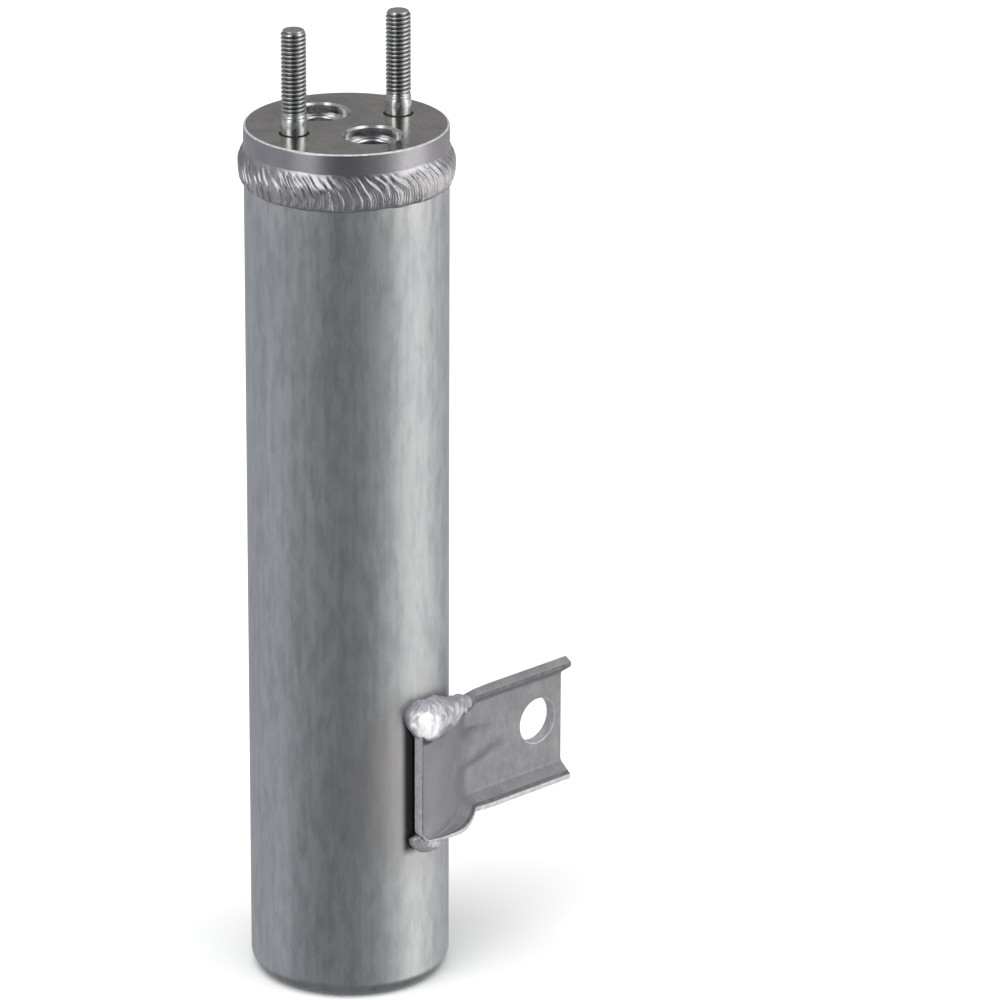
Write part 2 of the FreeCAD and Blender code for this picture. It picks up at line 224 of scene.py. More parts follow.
def node(kind, inputs=None, **settings):
    made = tree.nodes.new("ShaderNode" + kind)
    for key, value in settings.items():
        setattr(made, key, value)
    for key, value in (inputs or {}).items():
        if isinstance(value, bpy.types.NodeSocket):
            tree.links.new(value, made.inputs[key])
        else:
            made.inputs[key].default_value = value
    return made


def calc(operation, a, b=0.0, c=0.0):
    return node("Math", {0: a, 1: b, 2: c}, operation=operation).outputs[0]


def times(a, b):
    return calc("MULTIPLY", a, b)


def millimetres(stretch=(1, 1, 1)):
    """Position on the object in millimetres, squeezed along each axis by the given factors."""
    place = node("TexCoord").outputs["Object"]
    scale = [1000 * s for s in stretch]
    return node("Mapping", {"Vector": place, "Scale": scale}).outputs[0]


def grain(size, detail=4.0, stretch=(1, 1, 1), roughness=0.5, distortion=0.0):
    """Noise whose features are about the given size in millimetres."""
    return node("TexNoise", {
        "Vector": millimetres(stretch), "Scale": 1 / size, "Detail": detail,
        "Roughness": roughness, "Distortion": distortion,
    }).outputs["Fac"]


def ramp(value, stops):
    """Colour ramp from (position, colour or grey) stops."""
    made = node("ValToRGB", {"Fac": value})
    elements = made.color_ramp.elements
    while len(elements) < len(stops):
        elements.new(0.5)
    for element, (position, colour) in zip(elements, stops):
        element.position = position
        if isinstance(colour, (int, float)):
            colour = (colour, colour, colour)
        element.color = (*colour, 1)
    return made.outputs["Color"]


def spread(value, low, high):
    """A value from 0 to 1 taken to the given range."""
    return node("MapRange", {"Value": value, "To Min": low, "To Max": high}).outputs[0]


def blend(share, first, second):
    made = node("Mix", data_type="RGBA")
    for index, value in ((0, share), (6, first), (7, second)):
        if isinstance(value, bpy.types.NodeSocket):
            tree.links.new(value, made.inputs[index])
        elif index == 0:
            made.inputs[index].default_value = value
        else:
            made.inputs[index].default_value = (*value, 1)
    return made.outputs[2]


def broken_up(base, share, value, dark, light):
    """The base with a share of two tones laid over it, each tone a ramp's stop."""
    return blend(share, base, ramp(value, [dark, light]))


def bump(height, distance, strength=1.0, normal=None):
    inputs = {"Height": height, "Distance": distance * MM, "Strength": strength}
    if normal is not None:
        inputs["Normal"] = normal
    return node("Bump", inputs).outputs["Normal"]


def distance_from(point, stretch=(1, 1, 1)):
    """Distance in millimetres from a point."""
    place = millimetres(stretch)
    return node("VectorMath", {0: place, 1: point}, operation="DISTANCE").outputs["Value"]


def distance_aside(x, y):
    """Distance in millimetres from the upright line at a place."""
    return distance_from((x, y, 0), (1, 1, 0))


def fade(value, start, end):
    """One before the start, nothing past the end, smooth between; either may be the larger."""
    return node("MapRange", {
        "Value": value, "From Min": start, "From Max": end, "To Min": 1.0, "To Max": 0.0,
    }, interpolation_type="SMOOTHSTEP").outputs[0]


def heights():
    return node("SeparateXYZ", {0: millimetres()}).outputs["Z"]


def material(name, **values):
    """A new material, whose node tree the helpers then add to."""
    global tree
    made = bpy.data.materials.new(name)
    made.use_nodes = True
    tree = made.node_tree
    shader = tree.nodes["Principled BSDF"]
    for key, value in values.items():
        shader.inputs[key.replace("_", " ")].default_value = value
    return made


def surfaced(made, base, roughness, normal, **others):
    """The material with these sockets linked to its shader."""
    sockets = {"Base Color": base, "Roughness": roughness, "Normal": normal, **others}
    shader = tree.nodes["Principled BSDF"]
    for key, socket in sockets.items():
        tree.links.new(socket, shader.inputs[key])
    return made


# Materials

def can_material():
    made = material("can_aluminium", Metallic=1.0, Anisotropic=0.35)
    streaks = grain(0.9, 5, (1, 1, 0.02), 0.6)
    broad = grain(5.5, 3, (1, 1, 0.09), 0.55)
    mottle = grain(2.2, 6, (1, 1, 0.28), 0.65)
    tones = [(0.3, (0.42, 0.465, 0.480)), (0.5, (0.53, 0.577, 0.592)), (0.7, (0.63, 0.674, 0.689))]
    base = ramp(broad, tones)
    base = broken_up(base, 0.5, streaks, (0.35, (0.46, 0.502, 0.519)), (0.65, (0.64, 0.684, 0.698)))
    base = broken_up(base, 0.45, mottle, (0.38, (0.42, 0.465, 0.475)), (0.58, (0.66, 0.702, 0.713)))
    specks = ramp(grain(0.45, 3, roughness=0.6), [(0.64, 0.0), (0.72, 0.55)])
    base = blend(specks, base, (0.30, 0.335, 0.35))
    level = heights()
    weld_edge = 199.5
    foot_middle = (6.5, -23.5, 55)
    near_foot = fade(distance_from(foot_middle), 14, 30)
    near_weld = fade(calc("SUBTRACT", weld_edge, level), 0, 9)
    base = blend(times(near_foot, 0.55), base, (0.50, 0.47, 0.48))
    haze = times(near_weld, ramp(mottle, [(0.4, 0.0), (0.62, 0.7)]))
    base = blend(haze, base, (0.74, 0.75, 0.74))
    # Painted shadow and reflection of the foot's edge: a dark band on the can beside it, between two levels
    foot_edge = fade(distance_aside(2.1, -24.0), 0.9, 3.0)
    gap_shade_low, gap_shade_high, soft = 38, 70, 3
    under_top = fade(level, gap_shade_high, gap_shade_high + soft)
    over_bottom = fade(calc("SUBTRACT", gap_shade_low, level), 0, soft)
    soot_and_shade = times(times(foot_edge, times(under_top, over_bottom)), 0.96)
    base = blend(soot_and_shade, base, (0.025, 0.025, 0.028))
    roughness = spread(mottle, 0.30, 0.46)
    normal = bump(streaks, 0.012, 0.6)
    normal = bump(mottle, 0.02, 0.5, normal)
    tangent = node("Tangent", direction_type="RADIAL", axis="Z").outputs[0]
    return surfaced(made, base, roughness, normal, Tangent=tangent)


def face_material():
    """The head's turned and polished top face."""
    made = material("head_face", Metallic=1.0)
    cloud = grain(5.0, 5, roughness=0.6)
    fine = grain(0.5, 4)
    base = ramp(cloud, [(0.3, (0.46, 0.445, 0.435)), (0.7, (0.68, 0.66, 0.65))])
    spots = grain(0.6, 4)
    base = broken_up(base, 0.25, spots, (0.35, (0.36, 0.35, 0.345)), (0.65, (0.80, 0.78, 0.77)))
    specks = ramp(grain(0.28, 2), [(0.66, 0.0), (0.74, 1.0)])
    base = blend(times(specks, 0.5), base, (0.85, 0.85, 0.86))
    stain_r = 11.1
    from_port = distance_aside(blind_port.x, blind_port.y)
    stain = times(fade(from_port, stain_r, stain_r + 0.5), 0.4)
    base = blend(stain, base, (0.42, 0.42, 0.45))
    from_arcs = distance_aside(16.5, 4.5)
    wobble = calc("ADD", from_arcs, times(fine, 0.1))
    arcs = calc("SINE", times(wobble, 9.0))
    lathe = calc("SINE", times(distance_aside(0, 0), 42.0))
    lines = grain(1.2, 2, (1, 0.07, 1), 0.5, 0.15)
    scratches = ramp(lines, [(0.492, 0.0), (0.5, 1.0), (0.508, 0.0)])
    scratch_here = ramp(grain(7.0, 1), [(0.55, 0.0), (0.62, 1.0)])
    scratches = times(scratches, scratch_here)
    base = blend(times(scratches, 0.35), base, (0.9, 0.9, 0.9))
    roughness = ramp(cloud, [(0.3, 0.13), (0.7, 0.24)])
    roughness = calc("ADD", roughness, times(specks, 0.25))
    near_arcs = fade(from_arcs, 5.0, 9.0)
    normal = bump(lathe, 0.0008, 0.5)
    normal = bump(times(arcs, near_arcs), 0.004, 0.6, normal)
    normal = bump(fine, 0.004, 0.5, normal)
    normal = bump(scratches, -0.02, 0.6, normal)
    return surfaced(made, base, roughness, normal)


def side_material():
    """The head's turned side, satin and slightly lilac."""
    made = material("head_side", Metallic=1.0, Anisotropic=0.8, Anisotropic_Rotation=0.25)
    rings = grain(0.35, 3, (0.05, 0.05, 1))
    fine = grain(0.35, 5)
    cloud = grain(4.0, 3)
    base = ramp(cloud, [(0.3, (0.41, 0.405, 0.435)), (0.7, (0.48, 0.475, 0.505))])
    base = broken_up(base, 0.3, fine, (0.35, (0.32, 0.32, 0.345)), (0.65, (0.58, 0.58, 0.605)))
    normal = bump(rings, 0.010, 0.5)
    normal = bump(fine, 0.008, 0.6, normal)
    tangent = node("Tangent", direction_type="RADIAL", axis="Z").outputs[0]
    roughness = spread(fine, 0.27, 0.42)
    return surfaced(made, base, roughness, normal, Tangent=tangent)


def port_material():
    """Bright bored walls inside the ports."""
    made = material("port_bore", Metallic=1.0)
    rings = grain(0.16, 2, (0.05, 0.05, 1))
    spots = grain(1.1, 5, roughness=0.7)
    base = ramp(spots, [(0.3, (0.66, 0.66, 0.67)), (0.62, (0.86, 0.86, 0.87))])
    dirt = (blind_port.x + passage_aside, blind_port.y - 0.6, 199)
    near_dirt = fade(distance_from(dirt), 1.5, 3.4)
    base = blend(times(near_dirt, 0.7), base, (0.24, 0.16, 0.10))
    roughness = spread(spots, 0.08, 0.24)
    return surfaced(made, base, roughness, bump(rings, 0.035, 1.0))


def weld_material(name, tint, whitened, metal=1.0, white_at=None):
    """Weld metal: lilac-grey with pale flecks and dark soot, and a white crust round one point."""
    made = material(name, Metallic=metal)
    fine = grain(0.30, 5, roughness=0.65)
    patches = grain(2.6, 4, roughness=0.6)
    soot_and_shade = grain(0.8, 3, roughness=0.7)
    base = ramp(patches, [(0.35, tint), (0.65, tuple(min(c * whitened, 0.95) for c in tint))])
    base = broken_up(base, 0.3, fine, (0.35, (0.36, 0.355, 0.38)), (0.62, (0.86, 0.86, 0.88)))
    base = blend(ramp(soot_and_shade, [(0.68, 0.0), (0.76, 0.8)]), base, (0.12, 0.115, 0.12))
    others = {}
    if white_at:
        ragged = calc("ADD", distance_from(white_at), times(patches, 4.0))
        crust = times(fade(ragged, 4.6, 6.8), 0.95)
        combed = grain(2.4, 2, (1.3, 1.3, 0.4), 0.5, 0.6)
        whites = [(0.36, (0.46, 0.46, 0.49)), (0.48, (0.74, 0.74, 0.76)), (0.58, (0.95, 0.95, 0.96))]
        base = blend(crust, base, ramp(combed, whites))
        bare = times(calc("SUBTRACT", 1.0, crust), metal)
        others["Metallic"] = bare
    roughness = spread(patches, 0.2, 0.45)
    return surfaced(made, base, roughness, bump(fine, 0.02, 0.6), **others)


def stud_material():
    made = material("stud_zinc", Metallic=1.0)
    spots = grain(0.5, 5, roughness=0.65)
    base = ramp(spots, [(0.3, (0.58, 0.595, 0.585)), (0.65, (0.80, 0.82, 0.805))])
    from_left = distance_aside(-stud_x, 0)
    from_axis = calc("MINIMUM", from_left, distance_aside(stud_x, 0))
    shank = fade(heights(), stud_top - 0.5, stud_top - 0.2)
    # Painted shade in the thread's roots: darker nearer the stud's axis, below the stud's end
    deep, shallow = stud_r - thread_depth * 0.9, stud_r - thread_depth * 0.25
    root = times(fade(from_axis, deep, shallow), shank)
    base = blend(times(root, 0.74), base, (0.05, 0.055, 0.052))
    roughness = spread(spots, 0.12, 0.3)
    end = fade(calc("SUBTRACT", stud_top - 0.05, heights()), 0.0, 0.15)
    pits = times(grain(0.22, 4, roughness=0.7), end)
    normal = bump(grain(0.8, 1), 0.004, 0.5)
    normal = bump(pits, 0.06, 0.8, normal)
    return surfaced(made, base, roughness, normal)


def bracket_material():
    made = material("bracket_steel", Metallic=0.5)
    fine = grain(0.28, 5, roughness=0.7)
    cloud = grain(4.5, 4, roughness=0.55)
    rolled = grain(0.7, 4, (1, 1, 0.2), 0.6)
    base = ramp(cloud, [(0.3, (0.215, 0.22, 0.23)), (0.7, (0.365, 0.37, 0.38))])
    base = broken_up(base, 0.3, fine, (0.35, (0.17, 0.17, 0.185)), (0.65, (0.42, 0.42, 0.435)))
    base = broken_up(base, 0.2, rolled, (0.4, (0.26, 0.26, 0.275)), (0.6, (0.42, 0.42, 0.435)))
    scorch = fade(distance_from((8.5, -26.0, 55.0)), 8, 19)
    base = blend(times(scorch, 0.6), base, (0.225, 0.225, 0.235))
    # Painted shade on the sheet where the top bead meets it
    under_weld = ((5.2, -27.3, 70.1), 5.4), ((9.4, -25.7, 70.0), 5.0), ((13.5, -23.8, 70.4), 3.9)
    for place, reach in under_weld:
        bead_shade = times(fade(distance_from(place), reach - 0.5, reach + 0.5), 0.85)
        base = blend(bead_shade, base, (0.03, 0.03, 0.035))
    # Painted highlight on the bend
    bend_highlight = times(fade(distance_from((22.0, -17.0, 53.5)), 1.0, 4.5), 0.4)
    base = blend(bend_highlight, base, (0.44, 0.415, 0.425))
    roughness = spread(fine, 0.36, 0.56)
    normal = bump(fine, 0.02, 0.55)
    return surfaced(made, base, roughness, normal)


def edge_material():
    """Sheared edges of the sheet and the lower flange's land, brighter than its faces as a painted
    highlight.
    """
    made = material("sheared_edge_highlight", Metallic=0.45)
    fine = grain(0.3, 4, roughness=0.65)
    drag = grain(1.6, 3, roughness=0.6)
    base = ramp(drag, [(0.3, (0.44, 0.44, 0.465)), (0.7, (0.74, 0.74, 0.77))])
    base = broken_up(base, 0.25, fine, (0.35, (0.34, 0.34, 0.365)), (0.65, (0.84, 0.84, 0.86)))
    roughness = spread(fine, 0.3, 0.5)
    return surfaced(made, base, roughness, bump(fine, 0.02, 0.5))


def plain_material(name, dark, light, size, metallic, low, high, bumped=0.02, stretch=(1, 1, 1)):
    """Two tones broken up by grain: the finish of a part inside the can or of the head's body, or painted
    shade or a painted highlight.
    """
    made = material(name, Metallic=metallic)
    spots = grain(size, 5, stretch, 0.65)
    fine = grain(size * 0.3, 4, stretch, 0.6)
    base = ramp(spots, [(0.3, dark), (0.7, light)])
    roughness = spread(fine, low, high)
    return surfaced(made, base, roughness, bump(fine, bumped, 0.6))


def beads_material():
    """Round desiccant beads, packed."""
    made = material("desiccant_beads", Metallic=0.0)
    cells = node("TexVoronoi", {"Vector": millimetres(), "Scale": 0.55})
    # Lighter at each cell's middle and darker towards its edge: painted shade between the beads
    base = ramp(cells.outputs["Distance"], [(0.0, (0.80, 0.74, 0.62)), (0.6, (0.42, 0.36, 0.28))])
    normal = bump(calc("SUBTRACT", 1.0, cells.outputs["Distance"]), 0.6, 0.9)
    roughness = ramp(cells.outputs["Distance"], [(0.0, 0.55), (0.6, 0.85)])
    return surfaced(made, base, roughness, normal)


# Can

def make_can(surface):
    profile = [(0, 0), (can_r - base_round, 0)]
    round_steps, rows, columns = 14, 110, 200
    for i in range(1, round_steps + 1):
        angle = radians(-90 + 90 * i / round_steps)
        reach, rise = base_round * cos(angle), base_round * sin(angle)
        profile.append((can_r - base_round + reach, base_round + rise))
    for i in range(1, rows):
        profile.append((can_r, mix(base_round, can_top - weld_groove, i / rows)))
    profile += [(can_r, can_top - weld_groove), (can_r - weld_groove, can_top), (bore_r, can_top)]
    profile += [(bore_r, can_floor + 1.5), (bore_r, can_floor), (0, can_floor)]
    bm = bmesh.new()
    turned(bm, profile, centre, columns)
    waviness, wave_size, wave_squeeze = 0.05, 9.0, 0.12
    for vert in bm.verts:
        radius = hypot(vert.co.x, vert.co.y)
        if radius > can_r - 0.01:
            drawn = Vector((vert.co.x, vert.co.y, vert.co.z * wave_squeeze))
            depth = waviness * (rough(drawn, wave_size, 3.1) - 1)
            vert.co.x *= 1 + depth / radius
            vert.co.y *= 1 + depth / radius
    finished(to_object(bm, "can_shell"), "canister", [surface])


# Head block

def port_profile(narrow_r, narrow_depth):
    """Outline of a port from the head's face down to the end of its narrow part."""
    top = face_height
    ledge = top - counterbore_depth
    step = top - port_depth
    return [
        (counterbore_r + mouth_chamfer, top), (counterbore_r, top - mouth_chamfer), (counterbore_r, ledge),
        (port_r + port_chamfer, ledge), (port_r, ledge - port_chamfer), (port_r, step), (narrow_r, step),
        (narrow_r, top - narrow_depth),
    ]


def make_head(face, side, bore, body, rim, seat_shade):
    bm = bmesh.new()
    segments, rim_segments = 128, 256
    rim_side = [
        (can_r, can_top + weld_groove), (can_r, face_height - head_chamfer),
        (can_r - 0.06, face_height - head_chamfer * 0.55), (can_r - 0.2, face_height - 0.12),
        (can_r - head_chamfer * 0.9, face_height - 0.02), (can_r - head_chamfer * 1.1, face_height),
    ]
    sides, side_faces = turned(bm, rim_side, centre, rim_segments)
    hidden = [
        (bore_r - 0.03, head_bottom), (bore_r - 0.03, can_top), (can_r - weld_groove, can_top),
        (can_r, can_top + weld_groove),
    ]
    below, below_faces = turned(bm, hidden, centre, rim_segments)
    top_loops = [sides[-1]]
    bottom_loops = [below[0]]
    bore_faces = []
    seat_faces = []
    outlet = port_profile(outlet_r, outlet_depth) + [
        (tube_socket_r, face_height - outlet_depth), (tube_socket_r, head_bottom + seal_height),
        (seal_r, head_bottom + seal_height), (seal_r, head_bottom),
    ]
    outlet = [outlet[0]] + eased(outlet[1:-1], 0.1) + [outlet[-1]]
    rings, faces = turned(bm, outlet, open_port, segments)
    top_loops.append(rings[0])
    bottom_loops.append(rings[-1])
    bore_faces += faces
    cone_depth = 2.85
    cone_end = face_height - pocket_depth - cone_depth
    pocket = port_profile(pocket_r, pocket_depth) + [(0.35, cone_end + 0.1), (0, cone_end)]
    pocket = [pocket[0]] + eased(pocket[1:], 0.1)
    rings, faces = turned(bm, pocket, blind_port, segments)
    top_loops.append(rings[0])
    bore_faces += faces
    for x in (-stud_x, stud_x):
        at = Vector((x, 0, 0))
        seat = [
            (seat_r, face_height), (seat_r - seat_depth, face_height - seat_depth),
            (stud_hole_r, face_height - seat_depth), (stud_hole_r, stud_bottom), (0, stud_bottom),
        ]
        rings, faces = turned(bm, seat, at, 64)
        top_loops.append(rings[0])
        seat_faces += faces
    fill_between(bm, top_loops)
    fill_between(bm, bottom_loops)
    for index, faces in enumerate((side_faces, bore_faces, below_faces)):
        for face_made in faces:
            face_made.material_index = index + 1
    # Faces at the top of the rim get the lighter, less metallic rim finish, a painted highlight along the
    # head's edge
    for face_made in side_faces:
        if face_made.calc_center_median().z > face_height - head_chamfer * 0.55:
            face_made.material_index = 4
    # The stud seats get a dark finish, painted shade in the recess round each stud
    for face_made in seat_faces:
        face_made.material_index = 5
    piece = to_object(bm, "head_block", 32)
    passage = bmesh.new()
    start = head_bottom - 1
    drill = [(0, start), (passage_r, start), (passage_r, passage_top), (0, passage_top)]
    turned(passage, drill, blind_port + Vector((passage_aside, 0, 0)), 48)
    cutter = to_object(passage, "passage_cutter", weighted=False)
    piece = finished(piece, "head", [face, side, bore, body, rim, seat_shade])
    cutter.data.materials.append(bore)
    cut = piece.modifiers.new("passage", "BOOLEAN")
    cut.operation = "DIFFERENCE"
    cut.solver = "EXACT"
    cut.object = cutter
    piece.modifiers.move(1, 0)
    apply_modifiers(piece)
    bpy.data.objects.remove(cutter)


def fill_between(bm, loops):
    """Fills the flat area inside the first loop and outside the others."""
    edges = []
    for loop in loops:
        for k, vert in enumerate(loop):
            other = loop[(k + 1) % len(loop)]
            edges.append(bm.edges.get((vert, other)) or bm.edges.new((vert, other)))
    bmesh.ops.triangle_fill(bm, edges=edges, use_beauty=True, use_dissolve=False)


# Weld round the head

def crescent(v):
    """How far a ripple lies back along the bead at a share of its height, from top to bottom."""
    middle = 0.78
    bow = 11.0 if v < middle else 9.0
    return -bow * (v - middle) ** 2


def ripple(phase):
    """Height of one overlapping scale of weld metal."""
    rise, fall = 0.82, 0.18
    t = phase - floor(phase)
    return smooth(t / rise) if t < rise else smooth((1 - t) / fall)


def crown(v):
    """How far the bead stands out at a share of its height, from top to bottom."""
    if v < 0.5:
        return smooth((v - 0.06) / 0.44)
    return sqrt(max(0.0, 1 - ((v - 0.5) / 0.5) ** 2.6))


def make_head_weld(surface):
    around, across = 1400, 34
    overlap, overlap_reach = radians(-104), 3.2
    scale_length, scale_rise = 2.2, 0.38
    stria_length, stria_rise = 0.55, 0.13
    rings = []
    for j in range(across + 1):
        v = j / across
        height = mix(can_top + weld_above, can_top - weld_below, v)
        ring = []
        for k in range(around):
            turn = 2 * pi * k / around
            along = turn * can_r
            out = outward(turn)
            here = out * can_r + UP * height
            swell = 1 + 0.10 * rough(here, 9.0, 1.7)
            place = along - crescent(v) + 0.5 * rough(here, 3.5, 5.3)
            line = Vector((along, 0, 0))
            spacing = 1.42 + 0.25 * rough(Vector((along * 0.2, 0, 0)), 4.0, 9.1)
            scale = ripple(place / scale_length + 0.5 * rough(line, 5.0, 2.2))
            stria = ripple(place / stria_length + 0.4 * rough(here, 1.6, 8.8))
            ragged = 0.07 * rough(line, 2.0, 4.9)
            strength = smooth((v - 0.15 - ragged) / 0.14) * smooth((1 - v) / 0.10)
            strength *= 0.85 + 0.8 * rough(here, 4.0, 4.4)
            past = (turn - overlap + pi) % (2 * pi) - pi
            near = max(0.0, 1 - abs(past * can_r + crescent(v) * 0.6) / overlap_reach)
            radius = can_r - 0.12 + (weld_proud + 0.02) * crown(v) * swell
            radius += strength * (scale_rise * (scale - 0.5) + stria_rise * (stria - 0.5)) * spacing / 1.42
            radius += strength * 0.30 * near ** 2 * sin(past * can_r * 1.5)
            radius += 0.05 * rough(here, 1.1, 6.6) * strength
            radius = min(radius, can_r + weld_proud + 0.28)
            wave = 0.28 * rough(out * 12, 2.2, 7.7) * (1 - v)
            wave += 0.55 * rough(out * 12, 2.6, 3.3) * v
            ring.append(on_circle(radius, height + wave, centre, turn))
        rings.append(ring)
    lip_r = can_r - 0.2
    groove = (lip_r, can_top - weld_groove), (can_r - weld_groove, can_top), (lip_r, can_top + weld_groove)
    bm = bmesh.new()
    skin(bm, rings + turned_rings(groove, centre, around), closed=True)
    finished(to_object(bm, "head_bead", 60, weighted=False), "head_weld", [surface])


# Studs

thread_pitch = 1.0
thread_depth = 0.56
shoulder_rise = 4.6
barrel_swell = 0.19
thread_run_in = 1.3
end_chamfer = 0.60
# Outline of the ring at the shoulder's top: how far past the thread's radius, how far below the top
shoulder_ring = [
    (-0.10, 0.66), (-0.12, 0.56), (-0.02, 0.50), (0.05, 0.40), (0.06, 0.22), (0.02, 0.08), (-0.10, 0),
]


def thread_radius(height, turn):
    """Radius of the rolled thread at a height, from the phase of its helix."""
    phase = height / thread_pitch - turn / (2 * pi)
    t = phase - floor(phase)
    ridge = 1 - abs(2 * t - 1)
    return stud_r - thread_depth * (1 - smooth((ridge - 0.10) / 0.72))


def make_stud(name, x, replaced, surface, seed):
    around = 72
    at = Vector((x, 0, 0))
    shoulder = face_height + shoulder_rise
    low = face_height - seat_depth
    barrel_r = stud_r + 0.02
    profile = [(0, stud_bottom), (stud_sunk_r, stud_bottom), (stud_sunk_r, low), (stud_r - 0.04, low)]
    profile.append((barrel_r, low + 0.06))
    steps = 22
    for i in range(1, steps + 1):
        t = i / steps
        swell = barrel_swell * sin(pi * t ** 0.9) ** 0.8 * (1 - 0.25 * t)
        profile.append((barrel_r + swell, mix(low + 0.06, shoulder - 0.75, t)))
    profile += [(stud_r + past, shoulder - below) for past, below in shoulder_ring]
    rings = turned_rings(profile, at, around)
    start, end = shoulder + 0.08, stud_top - 0.12
    rows = 330
    for i in range(rows + 1):
        height = mix(start, end, i / rows)
        ring = []
        for k in range(around):
            turn = 2 * pi * k / around
            radius = thread_radius(height + seed, turn)
            run_in = smooth((height - start) / thread_run_in)
            radius = mix(stud_r - 0.14, radius, run_in)
            radius = min(radius, stud_r - end_chamfer + (stud_top - height) * 0.62)
            wear = 0.015 * rough(on_circle(radius, height, at, turn), 0.9, seed)
            ring.append(on_circle(radius + wear, height, at, turn))
        rings.append(ring)
    end_face = (2.36, 0.09), (2.30, 0.03), (2.1, 0.01), (1.2, 0), (0.5, 0), (0, 0)
    rings += turned_rings([(radius, stud_top - below) for radius, below in end_face], at, around)
    bm = bmesh.new()
    skin(bm, rings)
    finished(to_object(bm, name, 60, weighted=False), replaced, [surface])


# Bracket: the same folded sheet as in the solids, drawn with finer steps

sheet = 3.0
arm_angle = 9.5
arm_back = 15.7
arm_reach = 52.4
arm_half = 11.55
foot_half = 14.65
bracket_level = 54.65
foot_back = can_r + 0.3
foot_end_angle = -82.5
foot_corner = 2.5
bend_radius = 5.5
crease_radius = 1.0
flange_reach = 3.5
arm_flange_rise = 2.6
foot_flange_rise = 0.4
flange_edge = 1.25
flange_land = 1.95
flange_land_rise = 0.95
foot_flange = 0.9
flange_fade_angle = -54.0
taper_length = 6.0
flare_start = 2.5
flare_length = 19.0
hole_r = 5.65
hole_reach = 44.5
hole_level = 55.6
dart_radius = 5.2
dart_arm_end = 34.8
dart_foot_end = -54.0
dart_arm_level = 56.6
dart_foot_level = 55.4
dart_half = 13.5

arm_dir = outward(radians(arm_angle))
arm_out = Vector((arm_dir.y, -arm_dir.x, 0))
bend_axis_r = foot_back + sheet + bend_radius
bend_axis_out = arm_back + sheet + bend_radius
bend_start = sqrt(bend_axis_r ** 2 - bend_axis_out ** 2)
bend_axis = arm_dir * bend_start + arm_out * bend_axis_out
bend_axis_angle = degrees(atan2(bend_axis.y, bend_axis.x))
bend_length = radians(bend_axis_angle - (arm_angle - 90)) * (bend_radius + sheet / 2)


def rounded(before, corner, after, radius, steps):
    """Points along the arc that rounds a corner of the section."""
    corner = Vector(corner)
    a = (Vector(before) - corner).normalized()
    b = (Vector(after) - corner).normalized()
    half = acos(max(-1, min(1, a.dot(b)))) / 2
    reach = radius / tan(half)
    middle = corner + (a + b).normalized() * (radius / sin(half))
    first = corner + a * reach - middle
    last = corner + b * reach - middle
    start = atan2(first.y, first.x)
    turn = (atan2(last.y, last.x) - start + pi) % (2 * pi) - pi
    points = []
    for i in range(steps + 1):
        angle = start + turn * i / steps
        points.append((middle.x + radius * cos(angle), middle.y + radius * sin(angle)))
    return points


def half_section(half, rise, flange):
    reach = mix(0.3, flange_reach, flange)
    edge = mix(0.3, flange_edge, flange)
    land = mix(0.3, flange_land, flange)
    land_rise = mix(0.25, flange_land_rise, flange)
    slope = atan2(rise, flange_reach)
    front = (sheet, half)
    inner_tip = (sheet + reach, half + reach * tan(slope))
    outer_tip = (inner_tip[0], inner_tip[1] + edge)
    land_end = (outer_tip[0] - land, outer_tip[1] + land_rise)
    back = (0, land_end[1] - land_end[0] * tan(slope))
    tip_round = mix(0.08, 0.28, flange)
    points = rounded((0, 0), back, land_end, mix(0.4, crease_radius + sheet, flange), 8)
    points += rounded(back, land_end, outer_tip, tip_round, 2)
    points += rounded(land_end, outer_tip, inner_tip, tip_round, 3)
    points += rounded(outer_tip, inner_tip, front, tip_round, 3)
    crease = rounded(inner_tip, front, (sheet, 0), mix(0.1, crease_radius, flange), 6)
    (tip_out, tip_up), (crease_out, crease_up) = points[-1], crease[0]
    for share in (0.10, 0.26, 0.5, 0.75):
        points.append((mix(tip_out, crease_out, share), mix(tip_up, crease_up, share)))
    return points + crease


# Rows of faces along the half section: the lower half's sheared edge and land, bright as a painted
# highlight, with painted shade behind it, and the upper half's lip, darkened as painted shade under the
# flange
edge_highlight_rows = range(10, 17)
shade_rows = range(17, 21)
lip_shade_rows = range(14, 21)
# Points of the half section, and rows on the front and back flats between the two halves
half_rows = 31
front_rows = 64
back_rows = 40


def full_section(half, rise, flange):
    """Closed outline of the sheet from its back face, in (out, up), with rows on both flats."""
    upper = half_section(half, rise, flange)
    lower = [(out, -up) for out, up in reversed(upper)]
    points = list(upper)
    top, bottom = upper[-1][1], lower[0][1]
    for i in range(1, front_rows):
        points.append((sheet, mix(top, bottom, i / front_rows)))
    points += lower
    top, bottom = lower[-1][1], upper[0][1]
    for i in range(1, back_rows):
        points.append((0, mix(top, bottom, i / back_rows)))
    return points


def shrunk_outline(points, by):
    """The outline moved inwards."""
    moved = []
    count = len(points)
    for i, point in enumerate(points):
        before = Vector(points[i - 1])
        after = Vector(points[(i + 1) % count])
        along = (after - before).normalized()
        moved.append((point[0] + along.y * by, point[1] - along.x * by))
    return moved


def sheet_outline(along, trim, fading):
    widened = smooth((along - flare_start) / flare_length)
    shrunk = smooth((along + taper_length) / (taper_length + bend_length))
    flange = mix(1, foot_flange, shrunk) * fading
    half = mix(arm_half, foot_half, widened) - trim
    return full_section(half, mix(arm_flange_rise, foot_flange_rise, widened), flange)


